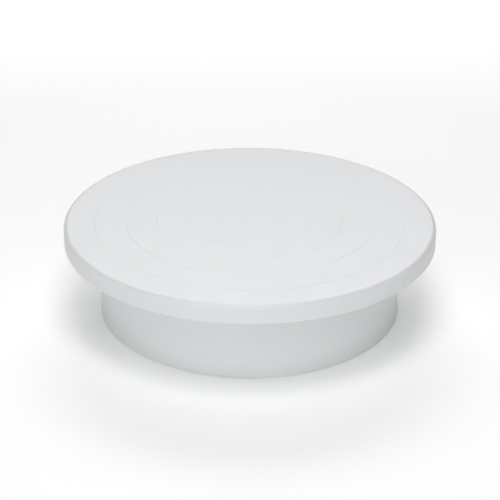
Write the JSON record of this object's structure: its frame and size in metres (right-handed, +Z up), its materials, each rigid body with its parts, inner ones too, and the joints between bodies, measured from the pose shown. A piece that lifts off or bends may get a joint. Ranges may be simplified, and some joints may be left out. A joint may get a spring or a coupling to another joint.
{
  "type": "cake turntable",
  "caption": "Cake-decorating turntable: a flat round plate with a short rim, turning on a ring of balls on a hollow round base with rubber feet.",
  "frame": {"origin": "middle of the surface that the feet stand on, on the plate's turning axis", "axes": "+Z up along the turning axis, from the feet to the plate's top; -Y is the front"},
  "size_m": [0.3048, 0.3048, 0.0792],
  "materials": {
    "plate_plastic": "satin white moulded polypropylene",
    "base_plastic": "satin off-white moulded polypropylene",
    "cage_nylon": "natural nylon",
    "bush_acetal": "smooth natural acetal",
    "ball_steel": "polished ball steel",
    "zinc_steel": "bright zinc plate",
    "foot_rubber": "matt moulded rubber"
  },
  "bodies": {
    "base": {"base_shell": "base_plastic", "hub_bush": "bush_acetal", "foot_1": "foot_rubber", "foot_2": "foot_rubber", "foot_3": "foot_rubber", "foot_4": "foot_rubber", "foot_5": "foot_rubber", "foot_6": "foot_rubber"},
    "plate": {"top_plate": "plate_plastic", "retaining_washer": "zinc_steel", "retaining_screw": "zinc_steel"},
    "cage": {"ball_cage": "cage_nylon"},
    "ball_01": {"ball_01": "ball_steel"},
    "ball_02": {"ball_02": "ball_steel"},
    "ball_03": {"ball_03": "ball_steel"},
    "ball_04": {"ball_04": "ball_steel"},
    "ball_05": {"ball_05": "ball_steel"},
    "ball_06": {"ball_06": "ball_steel"},
    "ball_07": {"ball_07": "ball_steel"},
    "ball_08": {"ball_08": "ball_steel"},
    "ball_09": {"ball_09": "ball_steel"},
    "ball_10": {"ball_10": "ball_steel"},
    "ball_11": {"ball_11": "ball_steel"},
    "ball_12": {"ball_12": "ball_steel"}
  },
  "joints": [
    {"name": "plate_spin", "type": "hinge", "parent": "base", "child": "plate", "pos_m": [0, 0, 0.0762], "axis": [0, 0, 1], "continuous": true},
    {"name": "cage_orbit", "type": "hinge", "parent": "base", "child": "cage", "pos_m": [0, 0, 0.0704], "axis": [0, 0, 1], "continuous": true},
    {"name": "ball_roll_01", "type": "hinge", "parent": "cage", "child": "ball_01", "pos_m": [0.09, 0, 0.0704], "axis": [1, 0, 0], "continuous": true},
    {"name": "ball_roll_02", "type": "hinge", "parent": "cage", "child": "ball_02", "pos_m": [0.07794, 0.045, 0.0704], "axis": [0.866, 0.5, 0], "continuous": true},
    {"name": "ball_roll_03", "type": "hinge", "parent": "cage", "child": "ball_03", "pos_m": [0.045, 0.07794, 0.0704], "axis": [0.5, 0.866, 0], "continuous": true},
    {"name": "ball_roll_04", "type": "hinge", "parent": "cage", "child": "ball_04", "pos_m": [0, 0.09, 0.0704], "axis": [0, 1, 0], "continuous": true},
    {"name": "ball_roll_05", "type": "hinge", "parent": "cage", "child": "ball_05", "pos_m": [-0.045, 0.07794, 0.0704], "axis": [-0.5, 0.866, 0], "continuous": true},
    {"name": "ball_roll_06", "type": "hinge", "parent": "cage", "child": "ball_06", "pos_m": [-0.07794, 0.045, 0.0704], "axis": [-0.866, 0.5, 0], "continuous": true},
    {"name": "ball_roll_07", "type": "hinge", "parent": "cage", "child": "ball_07", "pos_m": [-0.09, 0, 0.0704], "axis": [-1, 0, 0], "continuous": true},
    {"name": "ball_roll_08", "type": "hinge", "parent": "cage", "child": "ball_08", "pos_m": [-0.07794, -0.045, 0.0704], "axis": [-0.866, -0.5, 0], "continuous": true},
    {"name": "ball_roll_09", "type": "hinge", "parent": "cage", "child": "ball_09", "pos_m": [-0.045, -0.07794, 0.0704], "axis": [-0.5, -0.866, 0], "continuous": true},
    {"name": "ball_roll_10", "type": "hinge", "parent": "cage", "child": "ball_10", "pos_m": [0, -0.09, 0.0704], "axis": [0, -1, 0], "continuous": true},
    {"name": "ball_roll_11", "type": "hinge", "parent": "cage", "child": "ball_11", "pos_m": [0.045, -0.07794, 0.0704], "axis": [0.5, -0.866, 0], "continuous": true},
    {"name": "ball_roll_12", "type": "hinge", "parent": "cage", "child": "ball_12", "pos_m": [0.07794, -0.045, 0.0704], "axis": [0.866, -0.5, 0], "continuous": true}
  ],
  "couplings": [
    {"joint": "cage_orbit", "follows": "plate_spin", "ratio": 0.5},
    {"joint": "ball_roll_01", "follows": "plate_spin", "ratio": -11.25},
    {"joint": "ball_roll_02", "follows": "plate_spin", "ratio": -11.25},
    {"joint": "ball_roll_03", "follows": "plate_spin", "ratio": -11.25},
    {"joint": "ball_roll_04", "follows": "plate_spin", "ratio": -11.25},
    {"joint": "ball_roll_05", "follows": "plate_spin", "ratio": -11.25},
    {"joint": "ball_roll_06", "follows": "plate_spin", "ratio": -11.25},
    {"joint": "ball_roll_07", "follows": "plate_spin", "ratio": -11.25},
    {"joint": "ball_roll_08", "follows": "plate_spin", "ratio": -11.25},
    {"joint": "ball_roll_09", "follows": "plate_spin", "ratio": -11.25},
    {"joint": "ball_roll_10", "follows": "plate_spin", "ratio": -11.25},
    {"joint": "ball_roll_11", "follows": "plate_spin", "ratio": -11.25},
    {"joint": "ball_roll_12", "follows": "plate_spin", "ratio": -11.25}
  ]
}
